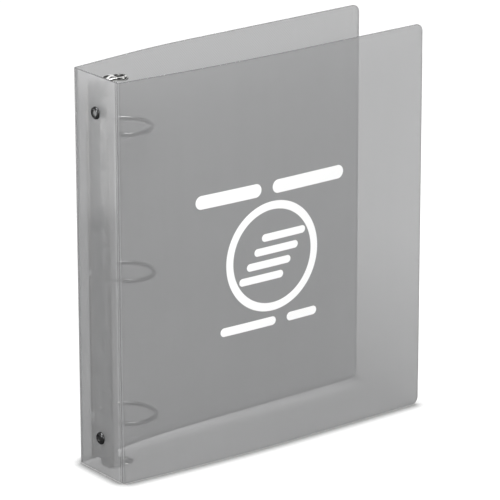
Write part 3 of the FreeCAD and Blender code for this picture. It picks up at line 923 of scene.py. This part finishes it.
@dataclass
class RingWire:
    """One ring of two bent wires, each fixed to its carrier rail."""

    radius: float = 0.0217
    wire_radius: float = 0.0016
    shoulder: float = 98.0
    entry: float = 153.0
    foot_radius: float = 0.0042
    leg: float = 0.0008
    root_inset: float = 0.0022
    tilt: float = 3.0
    rail_pivot: Point = (0.0031, 0.0126)
    rail_half_thick: float = 0.00045
    centre_x: float = 0.0212
    tip_gap: float = 0.00002
    rail_gap: float = 0.00002
    end_round: float = 0.00025
    sides: int = 28

    @staticmethod
    def moved(point: Point, distance: float, direction: float) -> Point:
        """The point moved along a direction in degrees."""
        turn = math.radians(direction)
        return (point[0] + distance * math.cos(turn), point[1] + distance * math.sin(turn))

    def arc(self, centre: Point, radius: float, start: float, end: float, count: int) -> list[Point]:
        """Points along an arc, without its last one."""
        return [self.moved(centre, radius, start + (end - start) * i / count) for i in range(count)]

    def path(self) -> list[Point]:
        """Centre line of the back half, from the tip to the rail."""
        centre = (self.centre_x, 0.0)
        root = self.moved(self.rail_pivot, self.root_inset, 270 - self.tilt)
        root = self.moved(root, self.rail_half_thick + self.rail_gap, -self.tilt)
        foot_end = self.moved(root, self.leg, -self.tilt)
        foot_centre = self.moved(foot_end, self.foot_radius, 90 - self.tilt)
        foot_start = self.moved(foot_centre, -self.foot_radius, self.entry)
        turn, entry = math.radians(self.entry - self.shoulder), math.radians(self.entry)
        reach = (foot_start[0] - centre[0]) * math.cos(entry) + foot_start[1] * math.sin(entry)
        shoulder_radius = (reach - self.radius * math.cos(turn)) / (1 - math.cos(turn))
        shoulder_start = self.moved(centre, self.radius, self.shoulder)
        shoulder_centre = self.moved(shoulder_start, -shoulder_radius, self.shoulder)
        points = self.arc(centre, self.radius, 0.0, self.shoulder, 40)
        points += self.arc(shoulder_centre, shoulder_radius, self.shoulder, self.entry, 16)
        points.append(self.moved(shoulder_centre, shoulder_radius, self.entry))
        points += self.arc(foot_centre, self.foot_radius, self.entry + 180, 270 - self.tilt, 12)
        points += [foot_end, root]
        return points

    def bend_tree(self) -> bpy.types.NodeTree:
        """Geometry Nodes tree that grows a round wire along a line of points."""
        known = bpy.data.node_groups.get("wire_bend")
        if known is not None:
            return known
        tree = bpy.data.node_groups.new("wire_bend", "GeometryNodeTree")
        face = tree.interface
        face.new_socket("Line", in_out="INPUT", socket_type="NodeSocketGeometry")
        face.new_socket("Wire Radius", in_out="INPUT", socket_type="NodeSocketFloat")
        face.new_socket("Sides", in_out="INPUT", socket_type="NodeSocketInt")
        face.new_socket("Finish", in_out="INPUT", socket_type="NodeSocketMaterial")
        face.new_socket("Wire", in_out="OUTPUT", socket_type="NodeSocketGeometry")
        bench = Bench(tree)
        given = bench.node("NodeGroupInput")
        line = bench.node("GeometryNodeMeshToCurve", inputs={"Mesh": given.outputs["Line"]})
        section = bench.node(
            "GeometryNodeCurvePrimitiveCircle",
            inputs={"Radius": given.outputs["Wire Radius"], "Resolution": given.outputs["Sides"]},
        )
        wire = bench.node(
            "GeometryNodeCurveToMesh",
            inputs={"Curve": line.outputs[0], "Profile Curve": section.outputs[0], "Fill Caps": True},
        )
        smooth = bench.node("GeometryNodeSetShadeSmooth", inputs={"Geometry": wire.outputs[0]})
        real = bench.node("GeometryNodeRealizeInstances", inputs={"Geometry": smooth.outputs[0]})
        painted = bench.node(
            "GeometryNodeSetMaterial",
            inputs={"Geometry": real.outputs[0], "Material": given.outputs["Finish"]},
        )
        bench.node("NodeGroupOutput", inputs={"Wire": painted.outputs[0]})
        return tree

    def half(self, side: Side, level: str) -> bpy.types.Object:
        """Half of one ring, riding with its rail."""
        node = f"ring_{side.word}_{level}"
        low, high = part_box(node)
        height = (low[2] + high[2]) / 2
        line = [(x, side.value * (y + self.tip_gap), height) for x, y in self.path()]
        mesh = bpy.data.meshes.new(f"{node}_wire")
        mesh.from_pydata(line, [(i, i + 1) for i in range(len(line) - 1)], [])
        piece = new_object(f"{node}_wire", mesh)
        grow = piece.modifiers.new("wire_bend", "NODES")
        grow.node_group = self.bend_tree()
        values = {"Wire Radius": self.wire_radius, "Sides": self.sides, "Finish": RING_PLATE.material()}
        for item in grow.node_group.interface.items_tree:
            if item.name in values and item.in_out == "INPUT":
                grow[item.identifier] = values[item.name]
        piece = settle(piece, 50.0)
        face_outwards(piece.data)
        bevelled(piece, self.end_round)
        piece = settle(piece, 50.0)
        dress(piece, RING_PLATE)
        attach(piece, f"{side.word}_rail")
        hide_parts(node)
        return piece

    def build(self) -> list[bpy.types.Object]:
        """All six ring halves."""
        return [self.half(side, level) for side in Side for level in ("top", "middle", "bottom")]


@dataclass
class FingerTrigger:
    """Lever at one end: a dished thumb pad on a neck, two side arms and a tongue under the rails."""

    end: End
    pivot_x: float = 0.0037
    neck_half: float = 0.0048
    thumb_radius: float = 0.0060
    pad_rise: float = 0.0063
    plate: float = 0.0009
    rim: float = 0.0016
    dish: float = 0.0013
    eye_radius: float = 0.0019
    tongue_half: float = 0.0025
    pad_start: float = -0.0004
    bend_end: float = 0.0026
    neck_end: float = 0.0050
    flare: float = 0.0080
    swell: float = 0.0010
    tip_lift: float = 0.0004
    rim_start: float = 0.86
    end_gap: float = 0.00002
    edge_round: float = 0.00018
    steps: int = 40
    across: int = 24

    def __post_init__(self) -> None:
        """Read the pivot's height from its pin, and the pad's reach from the frame."""
        low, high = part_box(f"{self.end.word}_trigger_pin")
        self.pivot_z = (low[2] + high[2]) / 2
        self.pad_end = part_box(f"{self.end.word}_trigger")[1][0] - self.pivot_x

    def at(self, x: float, y: float, z: float) -> Triple:
        """Place in the frame of a point given from the pivot, with Z away from the mechanism."""
        return (self.pivot_x + x, y, self.pivot_z + self.end.value * z)

    def outline(self, x: float) -> float:
        """Half width of the pad at one distance from the pivot, from the neck to the round end."""
        centre = self.pad_end - self.thumb_radius
        inside = max(self.thumb_radius**2 - (x - centre) ** 2, 0.0)
        round_half = math.sqrt(inside)
        if x > centre:
            return round_half
        ease = min(max((x - self.neck_end) / self.flare, 0.0), 1.0)
        ease = ease * ease * (3 - 2 * ease)
        return self.neck_half + (self.thumb_radius - self.neck_half) * ease

    def surface(self, x: float, share: float) -> float:
        """Height of the pad's upper face.

        Args:
            x: Distance from the pivot.
            share: 0 on the middle line and 1 at the edge.

        Returns:
            The height from the pivot.
        """
        along = (x - self.bend_end) / (self.pad_end - self.bend_end)
        wave = self.swell * math.sin(math.pi * min(along * 1.6, 1.0))
        wave += self.tip_lift * max(along - 0.55, 0.0) ** 2 / 0.2
        to_tip = max((x - (self.pad_end - self.thumb_radius)) / self.thumb_radius, 0.0)
        edge = min(math.hypot(share * math.sqrt(max(1 - to_tip**2, 0.0)), to_tip), 1.0)
        bowl = self.dish * min(along / 0.5, 1.0) * (edge**2 - 0.6)
        roll = self.rim * max((edge - self.rim_start) / (1 - self.rim_start), 0.0) ** 2
        return self.pad_rise + wave + bowl - roll

    def pad(self) -> bpy.types.Mesh:
        """Dished pad with its edges rolled down, from the bend over the pivot to the round end."""
        points, faces = [], []
        reach = self.pad_end - self.end_gap - self.pad_start
        for i in range(self.steps + 1):
            x = self.pad_start + reach * math.sin(math.pi / 2 * i / self.steps)
            shaped = max(x, self.bend_end)
            half = self.outline(shaped)
            for j in range(self.across + 1):
                share = math.sin(math.pi / 2 * (2 * j / self.across - 1))
                points.append(self.at(x, half * share, self.surface(shaped, abs(share))))
        row = self.across + 1
        for i in range(self.steps):
            for j in range(self.across):
                a = i * row + j
                faces.append((a, a + 1, a + row + 1, a + row))
        return mesh_from("pad", points, faces)

    def plate_from(self, profile: list[Point], low_y: float, high_y: float) -> bpy.types.Mesh:
        """Closed plate of an XZ profile between two depths."""
        count = len(profile)
        points = [self.at(x, low_y, z) for x, z in profile] + [self.at(x, high_y, z) for x, z in profile]
        faces = [tuple(range(count)), tuple(range(2 * count - 1, count - 1, -1))]
        faces += [(i, i + count, (i + 1) % count + count, (i + 1) % count) for i in range(count)]
        return mesh_from("plate", points, faces)

    def arm_profile(self) -> list[Point]:
        """Side arm: round at the eye, then up to the bend of the pad."""
        turns = [math.radians(200 + 180 * i / 14) for i in range(15)]
        eye = [(self.eye_radius * math.cos(turn), self.eye_radius * math.sin(turn)) for turn in turns]
        top = self.pad_rise - self.plate / 2
        return eye + [(0.0036, top - 0.0012), (0.0042, top), (-0.0003, top), (-0.0010, top - 0.0010)]

    def tongue_profile(self) -> list[Point]:
        """Tongue that reaches in under the two rails."""
        return [
            (-0.0028, -0.0050),
            (-0.0020, -0.0050),
            (-0.0020, -0.0012),
            (-0.0012, -0.0006),
            (-0.0012, 0.0006),
            (-0.0028, 0.0006),
        ]

    def build(self) -> bpy.types.Object:
        """The whole lever as one piece."""
        pad = new_object("pad", self.pad())
        shell = pad.modifiers.new("sheet", "SOLIDIFY")
        shell.thickness = self.plate
        shell.offset = -self.end.value
        pad = settle(pad, None)
        work = bmesh.new()
        work.from_mesh(pad.data)
        bpy.data.objects.remove(pad)
        arm_inner = self.neck_half - self.plate
        for low, high in ((-self.neck_half, -arm_inner), (arm_inner, self.neck_half)):
            work.from_mesh(self.plate_from(self.arm_profile(), low, high))
        work.from_mesh(self.plate_from(self.tongue_profile(), -self.tongue_half, self.tongue_half))
        mesh = bpy.data.meshes.new("lever")
        work.to_mesh(mesh)
        work.free()
        face_outwards(mesh)
        piece = new_object(f"{self.end.word}_finger_lever", mesh)
        bevelled(piece, self.edge_round)
        piece = settle(piece, 30.0)
        dress(piece, LEVER_PLATE)
        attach(piece, f"{self.end.word}_trigger")
        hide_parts(f"{self.end.word}_trigger")
        return piece


@dataclass
class Mechanism:
    """Nickelled housing, rails, triggers, pins and rivets."""

    cad_finishes: dict[str, Finish] = field(
        default_factory=lambda: {
            "mechanism_housing": NICKEL,
            "front_carrier_rail": RAIL_PLATE,
            "back_carrier_rail": RAIL_PLATE,
            "top_trigger_pin": RAIL_PLATE,
            "bottom_trigger_pin": RAIL_PLATE,
            "top_rivet": RIVET_PLATE,
            "bottom_rivet": RIVET_PLATE,
        }
    )

    def dress_frame(self) -> None:
        """Give the frame's own metal parts their finishes."""
        for node, finish in self.cad_finishes.items():
            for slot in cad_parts[node].material_slots:
                slot.material = finish.material()

    def build(self) -> list[bpy.types.Object]:
        """Dress what stays of the frame, and make the two levers."""
        self.dress_frame()
        return [FingerTrigger(end).build() for end in End]


# ---- studio -----------------------------------------------------------------------------------


@dataclass(frozen=True)
class Softbox:
    """Square soft light: its name, its place, its side in metres and its power in watts."""

    name: str
    place: Triple
    side: float
    power: float


@dataclass
class Studio:
    """White table, soft light and the camera."""

    camera_place: Triple = (-1.36067, -1.98151, 0.95901)
    camera_forward: Triple = (0.57207, 0.75841, -0.31233)
    camera_roll: float = 0.119
    lens: float = 257.2
    floor_half: float = 6.0
    aim: Triple = (0.12, 0.0, 0.15)
    softboxes: tuple[Softbox, ...] = (
        Softbox("ceiling_softbox", (0.25, 0.35, 1.9), 1.5, 17.0),
        Softbox("left_softbox", (-1.9, -0.2, 1.1), 0.8, 34.0),
        Softbox("front_softbox", (-0.4, -2.6, 1.5), 1.3, 36.0),
    )
    room_glow: float = 0.42
    ceiling_edges: Point = (0.25, 0.85)
    ceiling_glow: float = 0.6
    window_foot: Point = (0.20, 0.26)
    window_head: Point = (0.44, 0.38)
    window_glow: float = 0.8
    skylight_edges: Point = (0.935, 0.965)
    skylight_glow: float = 20.0

    def camera(self) -> None:
        """Long lens, a little above the binder and to the left of its front cover."""
        data = bpy.data.cameras.new("camera")
        data.lens = self.lens
        data.sensor_width = 36.0
        data.clip_end = 50.0
        made = bpy.data.objects.new("camera", data)
        bpy.context.scene.collection.objects.link(made)
        forward = Vector(self.camera_forward).normalized()
        right = forward.cross(Vector((0, 0, 1))).normalized()
        up = right.cross(forward)
        turn = math.radians(self.camera_roll)
        right = right * math.cos(turn) - up * math.sin(turn)
        up = right.cross(forward)
        axes = Matrix((right, up, -forward)).transposed()
        made.matrix_world = Matrix.Translation(self.camera_place) @ axes.to_4x4()
        bpy.context.scene.camera = made

    def floor(self) -> None:
        """Broad white table under the binder."""
        reach = self.floor_half
        corners = [(-reach, -reach, 0), (reach, -reach, 0), (reach, reach, 0), (-reach, reach, 0)]
        made = new_object("table_top", mesh_from("table_top", corners, [(0, 1, 2, 3)]))
        dress(made, PaleFloor())

    def lamp(self, box: Softbox) -> None:
        """Hang one soft light so that it faces the binder's middle."""
        data = bpy.data.lights.new(box.name, "AREA")
        data.shape = "SQUARE"
        data.size = box.side
        data.energy = box.power
        made = bpy.data.objects.new(box.name, data)
        bpy.context.scene.collection.objects.link(made)
        heading = Vector(self.aim) - Vector(box.place)
        made.location = box.place
        made.rotation_euler = heading.to_track_quat("-Z", "Y").to_euler()

    def surroundings(self) -> None:
        """White backdrop to the eye, soft light, and a window and a skylight for the metal to show."""
        world = bpy.data.worlds.new("studio")
        world.use_nodes = True
        bench = Bench(world.node_tree)
        direction = bench.node("ShaderNodeTexCoord")
        split = bench.node("ShaderNodeSeparateXYZ", inputs={0: direction.outputs["Generated"]})
        across, deep, up = (bench.reading(split, axis) for axis in "XYZ")
        wall = deep.ramp(0.1, 0.9) * 0.35 + across.ramp(0.3, 0.9) * 0.25
        ceiling = up.ramp(*self.ceiling_edges)
        soft = ceiling * self.ceiling_glow + wall * (1 - ceiling) + self.room_glow
        pane = up.ramp(*self.window_foot) * up.ramp(*self.window_head)
        window = pane * (deep.ramp(-0.5, 0.5) + self.window_glow)
        skylight = up.ramp(*self.skylight_edges) * self.skylight_glow
        crisp = window + skylight + up.ramp(0.10, 0.0) * 0.25 + 0.08
        path = bench.node("ShaderNodeLightPath")
        ray, gloss = bench.reading(path, "Is Camera Ray"), bench.reading(path, "Is Glossy Ray")
        strength = soft * (1 - ray) * (1 - gloss) + crisp * gloss + ray
        back = bench.node("ShaderNodeBackground", inputs={"Color": (1, 1, 1, 1), "Strength": strength})
        bench.node("ShaderNodeOutputWorld", inputs={"Surface": back.outputs[0]})
        bpy.context.scene.world = world

    def build(self) -> None:
        """Set everything up."""
        self.camera()
        self.floor()
        self.surroundings()
        for box in self.softboxes:
            self.lamp(box)
        bpy.context.scene.view_settings.view_transform = "Standard"


def main() -> None:
    """Build the binder and the studio round it."""
    logging.basicConfig(level=logging.INFO, format="%(name)s: %(message)s")
    Studio().build()
    for piece in FoldedSheet().build() + RingWire().build() + Mechanism().build():
        LOG.info("%s: %d faces", piece.name, len(piece.data.polygons))


if __name__ == "__main__":
    main()
